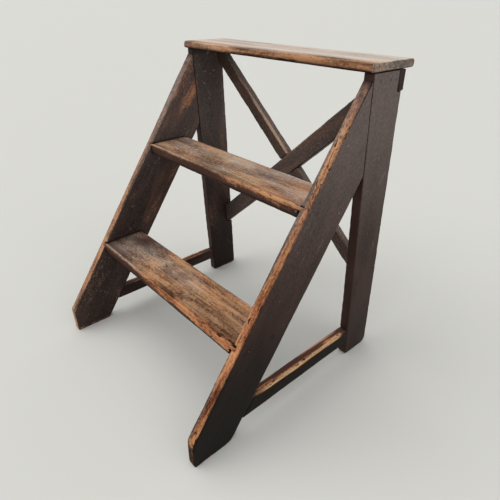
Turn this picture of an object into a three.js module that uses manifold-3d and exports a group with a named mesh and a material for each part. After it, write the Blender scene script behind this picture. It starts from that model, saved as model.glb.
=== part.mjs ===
// A fixed wooden step stool: two treads and a top board, nailed and housed together from
// eleven boards.
//
// Frame: millimetres, +Z up, the steps face -Y and +X is their right-hand side as seen by
// somebody standing in front of them. The origin is on the floor, under the middle of the
// footprint. Side profiles are drawn in (y, z) with y measured back from the toes, and the
// finished assembly is moved forward by half its depth at the very end.

import * as THREE from "three";
import { mergeVertices } from "three/addons/utils/BufferGeometryUtils.js";
import Module from "manifold-3d";

const wasm = await Module();
wasm.setup();

// ---------------------------------------------------------------- driving dimensions

const OVERALL_WIDTH = 508;
const OVERALL_HEIGHT = 631;
const OVERALL_DEPTH = 503; // from the vertical toe cut to the heel of the rear leg
const SIDE_THICKNESS = 20; // stringers, rear legs and foot rails are one board thick

// Each side: a leaning stringer in front, an almost upright leg behind.
const STRINGER_WIDTH = 101;
const STRINGER_TOP_DROP = 11; // how far below the top board the stringer runs out to an edge
const TOE_HEIGHT = 58; // the toe is cut off upright up to here
const STRINGER_HEEL_WEAR = { left: 4, right: 13 }; // worn-off corner, along the floor
const LEG_FOOT_WIDTH = 78;
const LEG_TOP_WIDTH = 86;
const LEG_LEAN = 3.0; // degrees, the back edge of the leg leans forward
const LEG_FRONT_WEAR = { left: 3, right: 9 };
const LEG_HEEL_WEAR = { left: 4, right: 14 };
const WEAR_STEEPNESS = 1.5; // a worn foot corner is this much higher than it is long

// The three boards one stands on.
const TOP_THICKNESS = 15;
const TOP_DEPTH = 126;
const TOP_BACK_OVERHANG = 30; // behind the back edge of the legs
const TOP_NOSE_RADIUS = 6; // rounded over above
const TOP_EDGE_UPRIGHT = 4; // left upright between the upper and the lower rounding
const TREAD_THICKNESS = 23;
const TREAD_NOSE_RADIUS = 4;
const TREAD_BACK_RADIUS = 2;
const LOWER_TREAD = { top: 209, depth: 101, proud: 4 };
const MIDDLE_TREAD = { top: 420, depth: 98, proud: 1 };
const HOUSING_DEPTH = 8; // how far a tread end is let into a side
const CORNER_GAP = 6; // over-cut front corner at the right end of each tread
const CORNER_GAP_DEPTH = 12;
const CORNER_GAP_BELOW_TOP = 8;

// Rails between stringer and leg, close to the floor.
const FOOT_RAIL = {
  left: { bottom: 43, height: 29 },
  right: { bottom: 39, height: 37 },
};
const TENON_LENGTH = 12;
const TENON_THICKNESS = 8;
const TENON_SHOULDER = 5; // above and below the tenon

// Diagonal back braces, halved where they cross. They are placed by their middle line where
// it meets the outer face of each side: low is its height above the floor at the foot, and
// drop is how far it ends below the underside of the top board.
const BRACE_THICKNESS = 18.5;
const BRACE_PROUD_AT_TOP = 7.5; // flush with the leg at the foot, proud of it at the top
const BRACE_FOOT_COVER = 8; // wood left outside the let-in foot of a brace
const BRACE_LOW_LEFT = { name: "brace_low_left", width: 39, low: 157, drop: 8, foot: -1 };
const BRACE_LOW_RIGHT = { name: "brace_low_right", width: 30, low: 163, drop: -3, foot: 1 };
const BRACES = [BRACE_LOW_LEFT, BRACE_LOW_RIGHT];

// Nails.
const NAIL_SHANK_RADIUS = 1.5;
const NAIL_HEAD_RADIUS = 3.2;
const NAIL_HEAD_THICKNESS = 1.4;
const NAIL_SUNK = 0.4; // heads are driven this far below the surface
const NAIL_POINT = 4;
const NAIL_SIDES = 8;
const TREAD_NAIL_LENGTH = 55;
const TOP_NAIL_DROP = 18; // from the underside of the top board down to where it goes in
const TOP_NAIL_SLANT = 52; // degrees above level
const TOP_NAIL_COVER = 4; // wood left above the point
const SEAM_NAIL_LENGTH = 60;
const SEAM_NAIL_DROPS = [32, 92]; // below the underside of the top board
const BRACE_NAIL_LENGTH = 48;
const CROSSING_NAIL_LENGTH = 16;
const CROSSING_NAIL_ASIDE = 10.76; // left of where the middle lines of the braces cross
const CROSSING_NAIL_BELOW = 4.23; // and below it
const NOSING_NAIL_LENGTH = 16;
const NOSING_NAIL_BELOW_TOP = 11;
const NOSING_NAIL_MARGIN = 1; // between its head and the over-cut corner
const TREAD_NAIL_PLACES = [0.22, 0.5, 0.78]; // along the depth of the tread
const TOP_NAIL_PLACES = [0.22, 0.56, 0.76]; // along the top of the leg

const FIT = 0.3; // clearance wherever two pieces touch
const HALVING = 0.5; // share of a brace's thickness that each half of the crossing keeps
const OVERCUT = 1; // a cut that breaks out of a face runs this far past it
const OVERCUT_SHARE = 0.5; // the same for cuts counted in brace thicknesses

// ---------------------------------------------------------------- derived places

const HALF_WIDTH = OVERALL_WIDTH / 2;
const INNER_FACE = HALF_WIDTH - SIDE_THICKNESS;
const TOP_UNDERSIDE = OVERALL_HEIGHT - TOP_THICKNESS;
const LEG_TOP = TOP_UNDERSIDE - FIT;
const topEndOf = (brace) => TOP_UNDERSIDE - brace.drop;
const SIDES = [
  { name: "left", sign: -1 },
  { name: "right", sign: 1 },
];

// A straight line in the side view, y = start + slope * z.
function lineThrough(z1, y1, z2, y2) {
  const slope = (y2 - y1) / (z2 - z1);
  return { start: y1 - slope * z1, slope };
}

const yOn = (line, z) => line.start + line.slope * z;
const moved = (line, dy) => ({ start: line.start + dy, slope: line.slope });
const heightWhereMeet = (a, b) => (b.start - a.start) / (a.slope - b.slope);

const LEG_BACK = { start: OVERALL_DEPTH, slope: -Math.tan(THREE.MathUtils.degToRad(LEG_LEAN)) };
const LEG_FRONT = lineThrough(
  0,
  OVERALL_DEPTH - LEG_FOOT_WIDTH,
  LEG_TOP,
  yOn(LEG_BACK, LEG_TOP) - LEG_TOP_WIDTH,
);
const SEAM = moved(LEG_FRONT, -FIT);
const STRINGER_TIP = TOP_UNDERSIDE - STRINGER_TOP_DROP;
const STRINGER_FRONT = lineThrough(TOE_HEIGHT, 0, STRINGER_TIP, yOn(SEAM, STRINGER_TIP));
const STRINGER_BACK = moved(STRINGER_FRONT, STRINGER_WIDTH * Math.hypot(1, STRINGER_FRONT.slope));

const TREADS = [
  { name: "lower", ...LOWER_TREAD },
  { name: "middle", ...MIDDLE_TREAD },
].map((tread) => {
  const front = yOn(STRINGER_FRONT, tread.top) - tread.proud;
  return { ...tread, front, back: front + tread.depth, bottom: tread.top - TREAD_THICKNESS };
});

const TOP_BACK = yOn(LEG_BACK, LEG_TOP) + TOP_BACK_OVERHANG;
const TOP_FRONT = TOP_BACK - TOP_DEPTH;

// ---------------------------------------------------------------- solids

const WOOD = {
  top: { color: 0x8d7060, roughness: 0.72 },
  tread: { color: 0x7d543a, roughness: 0.74 },
  side: { color: 0x3b302c, roughness: 0.62 },
  rail: { color: 0x4a3022, roughness: 0.68 },
  brace: { color: 0x4b3329, roughness: 0.66 },
};
const IRON = { color: 0x77706a, roughness: 0.55, metalness: 0.85 };

function solidOf(geometry) {
  const bare = geometry.index ? geometry.toNonIndexed() : geometry.clone();
  bare.deleteAttribute("normal");
  bare.deleteAttribute("uv");
  const merged = mergeVertices(bare, 1e-4);
  return new wasm.Manifold(
    new wasm.Mesh({
      numProp: 3,
      vertProperties: merged.attributes.position.array,
      triVerts: new Uint32Array(merged.index.array),
    }),
  );
}

function geometryOf(solid) {
  const mesh = solid.getMesh();
  const geometry = new THREE.BufferGeometry();
  geometry.setAttribute("position", new THREE.BufferAttribute(mesh.vertProperties, 3));
  geometry.setIndex(new THREE.BufferAttribute(mesh.triVerts, 1));
  geometry.computeVertexNormals();
  return geometry;
}

// A board whose outline is drawn in the side view and which fills x from one value to another.
function board(shape, fromX, toX) {
  const geometry = new THREE.ExtrudeGeometry(shape, {
    depth: toX - fromX,
    bevelEnabled: false,
    curveSegments: 4,
  });
  const turn = new THREE.Matrix4().makeBasis(
    new THREE.Vector3(0, 1, 0),
    new THREE.Vector3(0, 0, 1),
    new THREE.Vector3(1, 0, 0),
  );
  return solidOf(geometry.applyMatrix4(turn).translate(fromX, 0, 0));
}

function box(x1, x2, y1, y2, z1, z2) {
  const geometry = new THREE.BoxGeometry(x2 - x1, y2 - y1, z2 - z1);
  return solidOf(geometry.translate((x1 + x2) / 2, (y1 + y2) / 2, (z1 + z2) / 2));
}

// The same box on the left side as on the right side.
function sideBox(sign, nearX, farX, y1, y2, z1, z2) {
  const xs = [sign * nearX, sign * farX].sort((a, b) => a - b);
  return box(xs[0], xs[1], y1, y2, z1, z2);
}

// ---------------------------------------------------------------- boards of the sides

function sideBoard(shape, sign) {
  const xs = [sign * INNER_FACE, sign * HALF_WIDTH].sort((a, b) => a - b);
  return board(shape, xs[0], xs[1]);
}

function stringer(side) {
  const wear = STRINGER_HEEL_WEAR[side.name];
  const heel = yOn(STRINGER_BACK, 0);
  const fork = heightWhereMeet(STRINGER_BACK, SEAM);
  const shape = new THREE.Shape();
  shape.moveTo(0, 0);
  shape.lineTo(heel - wear, 0);
  shape.quadraticCurveTo(heel, 0, yOn(STRINGER_BACK, wear), wear);
  shape.lineTo(yOn(SEAM, fork), fork);
  shape.lineTo(yOn(SEAM, STRINGER_TIP), STRINGER_TIP);
  shape.lineTo(0, TOE_HEIGHT);
  return sideBoard(shape, side.sign);
}

function rearLeg(side) {
  const toeWear = LEG_FRONT_WEAR[side.name];
  const heelWear = LEG_HEEL_WEAR[side.name];
  const toeTop = toeWear * WEAR_STEEPNESS;
  const heelTop = heelWear * WEAR_STEEPNESS;
  const toe = yOn(LEG_FRONT, 0);
  const shape = new THREE.Shape();
  shape.moveTo(toe + toeWear, 0);
  shape.lineTo(OVERALL_DEPTH - heelWear, 0);
  shape.quadraticCurveTo(OVERALL_DEPTH, 0, yOn(LEG_BACK, heelTop), heelTop);
  shape.lineTo(yOn(LEG_BACK, LEG_TOP), LEG_TOP);
  shape.lineTo(yOn(LEG_FRONT, LEG_TOP), LEG_TOP);
  shape.lineTo(yOn(LEG_FRONT, toeTop), toeTop);
  shape.quadraticCurveTo(toe, 0, toe + toeWear, 0);
  return sideBoard(shape, side.sign);
}

// A level strip that ends on the back edge of the stringer and the front edge of the leg,
// and runs past both by reach.
function betweenStringerAndLeg(reach, bottom, top) {
  const front = moved(STRINGER_BACK, -reach);
  const back = moved(LEG_FRONT, reach);
  return new THREE.Shape([
    new THREE.Vector2(yOn(front, bottom), bottom),
    new THREE.Vector2(yOn(back, bottom), bottom),
    new THREE.Vector2(yOn(back, top), top),
    new THREE.Vector2(yOn(front, top), top),
  ]);
}

function footRail(side) {
  const { bottom, height } = FOOT_RAIL[side.name];
  const xs = [side.sign * INNER_FACE, side.sign * HALF_WIDTH].sort((a, b) => a - b);
  const body = board(betweenStringerAndLeg(-FIT, bottom, bottom + height), xs[0], xs[1]);
  return body.add(tenons(side, 0));
}

// Both stub tenons of a rail as one bar, grown by a clearance for the mortises.
function tenons(side, grown) {
  const { bottom, height } = FOOT_RAIL[side.name];
  const middle = side.sign * (INNER_FACE + SIDE_THICKNESS / 2);
  const half = TENON_THICKNESS / 2 + grown;
  const low = bottom + TENON_SHOULDER - grown;
  const high = bottom + height - TENON_SHOULDER + grown;
  return board(betweenStringerAndLeg(TENON_LENGTH + grown, low, high), middle - half, middle + half);
}

// ---------------------------------------------------------------- treads

function roundedProfile(front, back, bottom, top, frontRadius, backRadius) {
  const shape = new THREE.Shape();
  shape.moveTo(front, bottom);
  shape.lineTo(back, bottom);
  shape.lineTo(back, top - backRadius);
  shape.absarc(back - backRadius, top - backRadius, backRadius, 0, Math.PI / 2, false);
  shape.lineTo(front + frontRadius, top);
  shape.absarc(front + frontRadius, top - frontRadius, frontRadius, Math.PI / 2, Math.PI, false);
  return shape;
}

function tread(step) {
  const half = INNER_FACE + HOUSING_DEPTH - FIT;
  const { front, back, bottom, top } = step;
  const profile = roundedProfile(front, back, bottom, top, TREAD_NOSE_RADIUS, TREAD_BACK_RADIUS);
  const gap = box(
    INNER_FACE - CORNER_GAP,
    INNER_FACE,
    front - OVERCUT,
    front + CORNER_GAP_DEPTH,
    bottom - OVERCUT,
    top - CORNER_GAP_BELOW_TOP,
  );
  return board(profile, -half, half).subtract(gap);
}

// The recess that a side needs for the end of a tread.
function housing(step, sign) {
  const deep = INNER_FACE + HOUSING_DEPTH;
  const { front, back, bottom, top } = step;
  const open = INNER_FACE - OVERCUT;
  return sideBox(sign, open, deep, front - FIT, back + FIT, bottom - FIT, top + FIT);
}

// The top board: its front and back edges are rounded over above and eased below.
function topTread() {
  const over = TOP_NOSE_RADIUS;
  const under = TOP_THICKNESS - over - TOP_EDGE_UPRIGHT;
  const shape = new THREE.Shape();
  shape.moveTo(TOP_FRONT + under, TOP_UNDERSIDE);
  shape.lineTo(TOP_BACK - under, TOP_UNDERSIDE);
  shape.absarc(TOP_BACK - under, TOP_UNDERSIDE + under, under, -Math.PI / 2, 0, false);
  shape.lineTo(TOP_BACK, OVERALL_HEIGHT - over);
  shape.absarc(TOP_BACK - over, OVERALL_HEIGHT - over, over, 0, Math.PI / 2, false);
  shape.lineTo(TOP_FRONT + over, OVERALL_HEIGHT);
  shape.absarc(TOP_FRONT + over, OVERALL_HEIGHT - over, over, Math.PI / 2, Math.PI, false);
  shape.lineTo(TOP_FRONT, TOP_UNDERSIDE + under);
  shape.absarc(TOP_FRONT + under, TOP_UNDERSIDE + under, under, Math.PI, Math.PI * 1.5, false);
  return board(shape, -HALF_WIDTH, HALF_WIDTH);
}

// ---------------------------------------------------------------- back braces

// The back faces of both braces lie in one plane across the stool, and this is its line in
// the side view.
const BRACE_BACK = (() => {
  const low = Math.min(...BRACES.map((one) => one.low));
  return lineThrough(
    low,
    yOn(LEG_BACK, low) - FIT,
    LEG_TOP,
    yOn(LEG_BACK, LEG_TOP) + BRACE_PROUD_AT_TOP,
  );
})();

const climbOf = (brace) => (topEndOf(brace) - brace.low) / OVERALL_WIDTH;

// The slanting bar of a brace, a share of its thickness deep: from 0, the front face, to 1,
// the back face, and grown all round for its notches.
function braceBar(brace, fromDepth, toDepth, grown) {
  const climb = climbOf(brace);
  const halfHeight = (brace.width / 2 + grown) * Math.hypot(1, climb);
  const stopped = BRACE_FOOT_COVER - grown;
  const ends = [
    [brace.foot * (HALF_WIDTH - stopped), brace.low + stopped * climb],
    [-brace.foot * HALF_WIDTH, topEndOf(brace)],
  ].sort((a, b) => a[0] - b[0]);
  const shape = new THREE.Shape([
    new THREE.Vector2(ends[0][0], ends[0][1] - halfHeight),
    new THREE.Vector2(ends[1][0], ends[1][1] - halfHeight),
    new THREE.Vector2(ends[1][0], ends[1][1] + halfHeight),
    new THREE.Vector2(ends[0][0], ends[0][1] + halfHeight),
  ]);
  const depth = BRACE_THICKNESS * (toDepth - fromDepth);
  const geometry = new THREE.ExtrudeGeometry(shape, { depth, bevelEnabled: false });
  // The drawing stands up in x and z, sheared forward with height like the plane it lies in.
  const frontOfBack = BRACE_THICKNESS * (1 - fromDepth);
  const stand = new THREE.Matrix4().set(
    1, 0, 0, 0,
    0, BRACE_BACK.slope, 1, BRACE_BACK.start - frontOfBack,
    0, 1, 0, 0,
    0, 0, 0, 1,
  );
  return solidOf(mirroredFaces(geometry.applyMatrix4(stand).getAttribute("position")));
}

// Swapping two axes turns a mesh inside out, so each triangle is turned round.
function mirroredFaces(position) {
  const turned = position.clone();
  for (let i = 0; i < position.count; i += 3) {
    turned.setXYZ(i + 1, position.getX(i + 2), position.getY(i + 2), position.getZ(i + 2));
    turned.setXYZ(i + 2, position.getX(i + 1), position.getY(i + 1), position.getZ(i + 1));
  }
  return new THREE.BufferGeometry().setAttribute("position", turned);
}

// A brace is cut off level under the top board, and halved where the other one crosses it.
function brace(own, other, keepsFront) {
  const above = box(
    -OVERALL_WIDTH,
    OVERALL_WIDTH,
    0,
    2 * OVERALL_DEPTH,
    LEG_TOP,
    2 * OVERALL_HEIGHT,
  );
  const lap = keepsFront
    ? braceBar(other, HALVING, 1 + OVERCUT_SHARE, FIT).translate(0, -FIT / 2, 0)
    : braceBar(other, -OVERCUT_SHARE, HALVING, FIT).translate(0, FIT / 2, 0);
  return braceBar(own, 0, 1, 0).subtract(above).subtract(lap);
}

// ---------------------------------------------------------------- nails

// A nail points down from its head at the origin. Its hole is the same shape, grown by the
// clearance and open above the head.
function nailGeometry(length, grown, open) {
  const head = NAIL_HEAD_RADIUS + grown;
  const shank = NAIL_SHANK_RADIUS + grown;
  const neck = -NAIL_HEAD_THICKNESS - grown;
  return new THREE.LatheGeometry(
    [
      new THREE.Vector2(0, -length - grown),
      new THREE.Vector2(shank, NAIL_POINT - length - grown),
      new THREE.Vector2(shank, neck),
      new THREE.Vector2(head, neck),
      new THREE.Vector2(head, open),
      new THREE.Vector2(0, open),
    ],
    NAIL_SIDES,
  );
}

// One nail: where its head meets the surface, which way it is driven, how long it is and how
// far its head is below the surface.
function nail(name, at, into, length, sunk = NAIL_SUNK) {
  const direction = new THREE.Vector3(...into).normalize();
  const down = new THREE.Vector3(0, -1, 0);
  const turn = new THREE.Quaternion().setFromUnitVectors(down, direction);
  const place = new THREE.Vector3(...at).addScaledVector(direction, sunk);
  const matrix = new THREE.Matrix4().compose(place, turn, new THREE.Vector3(1, 1, 1));
  const open = 2 * sunk + OVERCUT;
  const hole = solidOf(nailGeometry(length, FIT, open).applyMatrix4(matrix));
  return { name, place, turn, length, hole };
}

function treadNails() {
  return TREADS.flatMap((step) =>
    SIDES.flatMap((side) =>
      TREAD_NAIL_PLACES.map((share, i) => {
        const y = step.front + share * step.depth;
        const z = step.top - TREAD_THICKNESS / 2;
        const name = `nail_${step.name}_${side.name}_${i + 1}`;
        const into = [-side.sign, 0, 0];
        return nail(name, [side.sign * HALF_WIDTH, y, z], into, TREAD_NAIL_LENGTH);
      }),
    ),
  );
}

// Driven upwards at a slant through the sides into the end of the top board. The whole head
// lies below the outer face, and the point stops short of the upper face.
function topNails() {
  const z = TOP_UNDERSIDE - TOP_NAIL_DROP;
  const across = Math.cos(THREE.MathUtils.degToRad(TOP_NAIL_SLANT));
  const up = Math.sin(THREE.MathUtils.degToRad(TOP_NAIL_SLANT));
  const sunk = NAIL_SUNK + (NAIL_HEAD_RADIUS * up) / across;
  const length = (TOP_NAIL_DROP + TOP_THICKNESS - TOP_NAIL_COVER) / up - sunk;
  return SIDES.flatMap((side) =>
    TOP_NAIL_PLACES.map((share, i) => {
      const y = yOn(LEG_FRONT, z) + share * LEG_TOP_WIDTH;
      const name = `nail_top_${side.name}_${i + 1}`;
      const into = [-side.sign * across, 0, up];
      return nail(name, [side.sign * HALF_WIDTH, y, z], into, length, sunk);
    }),
  );
}

// Driven level through the front edge of the stringer into the leg behind it.
function seamNails() {
  return SIDES.flatMap((side) =>
    SEAM_NAIL_DROPS.map((drop, i) => {
      const z = TOP_UNDERSIDE - drop;
      const x = side.sign * (INNER_FACE + SIDE_THICKNESS / 2);
      const name = `nail_seam_${side.name}_${i + 1}`;
      return nail(name, [x, yOn(STRINGER_FRONT, z), z], [0, 1, 0], SEAM_NAIL_LENGTH);
    }),
  );
}

// Driven forward through the ends of the braces into the back edges of the legs: two in each
// foot, and one in each head, where the brace is cut off under the top board.
function braceNails() {
  return BRACES.flatMap((own) => {
    const climb = climbOf(own);
    const footX = HALF_WIDTH - (SIDE_THICKNESS + BRACE_FOOT_COVER) / 2;
    const headX = HALF_WIDTH - SIDE_THICKNESS / 2;
    const footZ = own.low + climb * (HALF_WIDTH - footX);
    const headZ = topEndOf(own) - climb * (HALF_WIDTH - headX) - own.width / 2;
    return [
      ["foot_1", own.foot * footX, footZ - own.width / 4],
      ["foot_2", own.foot * footX, footZ + own.width / 4],
      ["head", -own.foot * headX, headZ],
    ].map(([end, x, z]) => {
      const name = `nail_${own.name}_${end}`;
      return nail(name, [x, yOn(BRACE_BACK, z), z], [0, -1, 0], BRACE_NAIL_LENGTH);
    });
  });
}

// Where the middle lines of the two braces cross, as seen from the front.
function crossing() {
  const rising = climbOf(BRACE_LOW_LEFT);
  const falling = climbOf(BRACE_LOW_RIGHT);
  const apart = BRACE_LOW_RIGHT.low - BRACE_LOW_LEFT.low + HALF_WIDTH * (falling - rising);
  const x = apart / (rising + falling);
  return { x, z: BRACE_LOW_LEFT.low + rising * (HALF_WIDTH + x) };
}

// One nail holds the halved crossing together, driven from the front.
function crossingNail() {
  const x = crossing().x - CROSSING_NAIL_ASIDE;
  const z = crossing().z - CROSSING_NAIL_BELOW;
  const y = yOn(BRACE_BACK, z) - BRACE_THICKNESS;
  return nail("nail_crossing", [x, y, z], [0, 1, 0], CROSSING_NAIL_LENGTH);
}

// A nail in the front face of the middle tread, close to its right end.
function nosingNail() {
  const step = TREADS[1];
  const x = INNER_FACE - CORNER_GAP - NAIL_HEAD_RADIUS - NOSING_NAIL_MARGIN;
  const at = [x, step.front, step.top - NOSING_NAIL_BELOW_TOP];
  return nail("nail_nosing", at, [0, 1, 0], NOSING_NAIL_LENGTH);
}

// ---------------------------------------------------------------- assembly

const nails = [
  ...treadNails(),
  ...topNails(),
  ...seamNails(),
  ...braceNails(),
  crossingNail(),
  nosingNail(),
];

const notches = BRACES.map((one) =>
  braceBar(one, 0, 1 + OVERCUT_SHARE, FIT).translate(0, -FIT, 0),
);

function fitted(solid, cutters) {
  return cutters.reduce((left, cutter) => left.subtract(cutter), solid);
}

// Both boards of a side are cut for everything that is let into that side.
function sideBoards(side) {
  const cutters = [
    ...TREADS.map((step) => housing(step, side.sign)),
    tenons(side, FIT),
    ...notches,
  ];
  return [
    [`${side.name}_stringer`, fitted(stringer(side), cutters), WOOD.side],
    [`${side.name}_rear_leg`, fitted(rearLeg(side), cutters), WOOD.side],
    [`${side.name}_foot_rail`, footRail(side), WOOD.rail],
  ];
}

const boards = [
  ["top_tread", topTread(), WOOD.top],
  ...TREADS.map((step) => [`${step.name}_tread`, tread(step), WOOD.tread]),
  ...SIDES.flatMap(sideBoards),
  [BRACE_LOW_LEFT.name, brace(BRACE_LOW_LEFT, BRACE_LOW_RIGHT, true), WOOD.brace],
  [BRACE_LOW_RIGHT.name, brace(BRACE_LOW_RIGHT, BRACE_LOW_LEFT, false), WOOD.brace],
];

const steps = new THREE.Group();
steps.position.y = -OVERALL_DEPTH / 2;

const holes = nails.map((one) => one.hole);
for (const [name, solid, finish] of boards) {
  const material = new THREE.MeshStandardMaterial({ metalness: 0, ...finish });
  const mesh = new THREE.Mesh(geometryOf(fitted(solid, holes)), material);
  mesh.name = name;
  steps.add(mesh);
}

for (const one of nails) {
  const geometry = nailGeometry(one.length, 0, 0);
  const mesh = new THREE.Mesh(geometry, new THREE.MeshStandardMaterial(IRON));
  mesh.name = one.name;
  mesh.position.copy(one.place);
  mesh.quaternion.copy(one.turn);
  steps.add(mesh);
}

export default steps;
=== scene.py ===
import math

import bmesh
import bpy
import numpy as np
from mathutils import Matrix, Vector


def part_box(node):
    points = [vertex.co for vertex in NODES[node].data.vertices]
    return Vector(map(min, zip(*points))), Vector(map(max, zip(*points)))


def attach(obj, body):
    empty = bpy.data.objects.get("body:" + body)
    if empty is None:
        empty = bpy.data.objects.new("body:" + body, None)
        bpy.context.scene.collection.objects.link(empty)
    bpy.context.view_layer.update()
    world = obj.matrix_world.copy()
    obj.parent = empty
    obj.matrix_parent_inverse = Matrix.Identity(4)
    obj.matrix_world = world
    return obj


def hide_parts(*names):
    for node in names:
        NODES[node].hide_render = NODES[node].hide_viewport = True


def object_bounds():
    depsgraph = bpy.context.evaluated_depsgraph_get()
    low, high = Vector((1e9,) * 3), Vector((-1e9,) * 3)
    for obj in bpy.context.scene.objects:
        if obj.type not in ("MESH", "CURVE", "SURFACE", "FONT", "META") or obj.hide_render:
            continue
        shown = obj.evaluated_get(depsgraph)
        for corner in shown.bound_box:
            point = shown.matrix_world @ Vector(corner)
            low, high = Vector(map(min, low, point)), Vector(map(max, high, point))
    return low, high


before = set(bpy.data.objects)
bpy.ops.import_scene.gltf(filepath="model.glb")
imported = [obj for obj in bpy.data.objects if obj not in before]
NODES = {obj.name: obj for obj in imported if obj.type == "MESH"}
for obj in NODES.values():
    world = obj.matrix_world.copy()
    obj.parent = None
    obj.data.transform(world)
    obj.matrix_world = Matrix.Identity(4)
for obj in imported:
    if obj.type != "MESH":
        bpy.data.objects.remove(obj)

bl_info = {
    "name": "Worn step stool",
    "version": (1, 0, 0),
    "blender": (4, 5, 0),
    "location": "View3D > Sidebar > Step stool",
    "description": "Dresses the packed step stool in old stained softwood, worn by feet and hands",
    "category": "Object",
}

CAD_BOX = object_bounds()
ROOT = "root"
MM = 0.001
NAIL_NODES = sorted(name for name in NODES if name.startswith("nail_"))


def linear(hex_colour):
    """An sRGB hex colour as the linear red, green, blue and alpha that Blender works in."""
    channels = [int(hex_colour[i:i + 2], 16) / 255 for i in (1, 3, 5)]
    return [c / 12.92 if c <= 0.04045 else ((c + 0.055) / 1.055) ** 2.4 for c in channels] + [1.0]


# ------------------------------------------------------------------ settings

def colour(name, hex_colour, description):
    return bpy.props.FloatVectorProperty(
        name=name, description=description, subtype="COLOR", size=4, min=0, max=1,
        default=linear(hex_colour))


def length(name, millimetres, description):
    return bpy.props.FloatProperty(
        name=name, description=description, default=millimetres * MM, min=0, unit="LENGTH",
        precision=5)


class StoolWear(bpy.types.PropertyGroup):
    mesh_step: length("Mesh step", 1.7, "Spacing of the points that the worn surface is made of")
    arris_loss: length("Arris loss", 2.3, "Most wood that rubbing takes off a heavily worn arris")
    chip_depth: length("Chip depth", 1.9, "Deepest chip out of an arris")
    dent_depth: length("Dent depth", 0.28, "How far hand-planed and knocked faces wander")
    dish_depth: length("Dish depth", 1.6, "How far feet have hollowed the middle of a tread")


class StoolColours(bpy.types.PropertyGroup):
    stain_deep: colour("Deep stain", "#1c1411", "Old brown-black stain where it is thickest")
    stain_thin: colour("Thin stain", "#3c2c28", "The same stain where handling has thinned it")
    stain_warm: colour("Warm stain", "#54362a", "Reddish wood that shows through where hands rub")
    # Bloom also colours the painted sheen that pales the outer faces of the sides towards the top.
    bloom_and_sheen: colour("Bloom", "#a59893", "Dull mauve-grey film on the stained faces")
    bare_deep: colour("Bare, dark grain", "#54392a", "Late growth with no finish left")
    bare_light: colour("Bare, light grain", "#b18c68", "Early growth with no finish left")
    rubbed_deep: colour("Rubbed, dark grain", "#5a2d1b", "Late growth polished by shoes")
    rubbed_light: colour("Rubbed, light grain", "#c08258", "Early growth polished by shoes")
    bleached: colour("Bleached", "#c9bfb5", "Grey-tan wood, dry and dusty")
    straw: colour("Straw", "#d2a880", "Fresh softwood where an arris has split away")
    pit: colour("Pits", "#2a170f", "Old stain left in the low places of worn wood")
    # Grime also colours painted shade: under the boards, under the top board, along the lower part
    # of the fronts and on the outer faces of the sides near the floor.
    grime_and_shade: colour("Grime", "#120c09", "Dirt in pits, in corners and under the boards")
    iron: colour("Iron", "#77716b", "Oxidised nail heads")
    rust: colour("Rust", "#3b2418", "Brown rust in the low places of the nail heads")
    floor: colour("Floor", "#c6c5c0", "Plain pale floor")
    sky: colour("Sky", "#e9eaea", "Even light from all round")


class StoolStage(bpy.types.PropertyGroup):
    floor_reach: bpy.props.FloatProperty(
        name="Floor reach", description="From the middle of the floor to its edges", unit="LENGTH",
        default=400)
    camera_place: bpy.props.FloatVectorProperty(
        name="Camera place", description="Where the camera stands", subtype="TRANSLATION", size=3,
        default=(0.6602, -0.4957, 0.7162))
    camera_yaw: bpy.props.FloatProperty(
        name="Yaw", description="Turn of the view to the left of +Y", subtype="ANGLE",
        default=math.radians(47.73))
    camera_pitch: bpy.props.FloatProperty(
        name="Pitch", description="Tilt of the view above level", subtype="ANGLE",
        default=math.radians(-30.18))
    camera_roll: bpy.props.FloatProperty(
        name="Roll", description="Turn of the camera about its view", subtype="ANGLE",
        default=math.radians(0.574))
    focal_length: bpy.props.FloatProperty(
        name="Focal length", description="Millimetres on a 36 mm wide sensor", default=31.21)


# ------------------------------------------------------------------ numbers on points

def eased(value, low, high):
    """0 below low, 1 above high and smooth between; low may be the larger one."""
    share = np.clip((value - low) / (high - low), 0, 1)
    return share * share * (3 - 2 * share)


def hashed(cell, seed):
    """A fixed random number from 0 to 1 for each lattice cell."""
    n = cell[:, 0] * 374761393 + cell[:, 1] * 668265263 + cell[:, 2] * 2147483629 + seed * 69069
    n = (n ^ (n >> 13)) & 0xFFFFFFFF
    n = (n * 1274126177) & 0xFFFFFFFF
    return ((n ^ (n >> 16)) & 0xFFFF) / 0xFFFF


def lattice_noise(points, seed):
    """Smooth value noise from 0 to 1, one cell to a unit."""
    cell = np.floor(points).astype(np.int64)
    inside = points - cell
    inside = inside * inside * (3 - 2 * inside)
    total = np.zeros(len(points))
    for corner in np.ndindex(2, 2, 2):
        weight = np.prod(np.where(corner, inside, 1 - inside), axis=1)
        total += weight * hashed(cell + np.array(corner), seed)
    return total


def mottle(points, size, seed, octaves=3):
    """Noise from 0 to 1 whose patches are size millimetres along the three given axes."""
    total, reach = np.zeros(len(points)), 0.0
    for octave in range(octaves):
        share = 0.5 ** octave
        total += share * lattice_noise(points / (np.array(size) * MM) * 2 ** octave, seed + octave)
        reach += share
    return total / reach


# ------------------------------------------------------------------ nails, read from the frame

def nail_facts(node):
    """The middle of a nail's head, the way it is driven and its length."""
    points = np.array([v.co for v in NODES[node].data.vertices], float)
    middle = (points.min(0) + points.max(0)) / 2
    axis = np.linalg.svd(points - middle, full_matrices=False)[2][0]
    along = (points - middle) @ axis
    off_axis = np.linalg.norm(points - middle - np.outer(along, axis), axis=1)
    if along[off_axis.argmax()] > 0:
        axis, along = -axis, -along
    return middle + axis * along.min(), axis, along.max() - along.min()


NAILS = [nail_facts(node) for node in NAIL_NODES]
HOLE_RADIUS = 4.2 * MM  # wider than any nail hole in the boards
HOLE_MOUTH = 12 * MM  # how far in front of a sunk head its hole can begin


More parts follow.
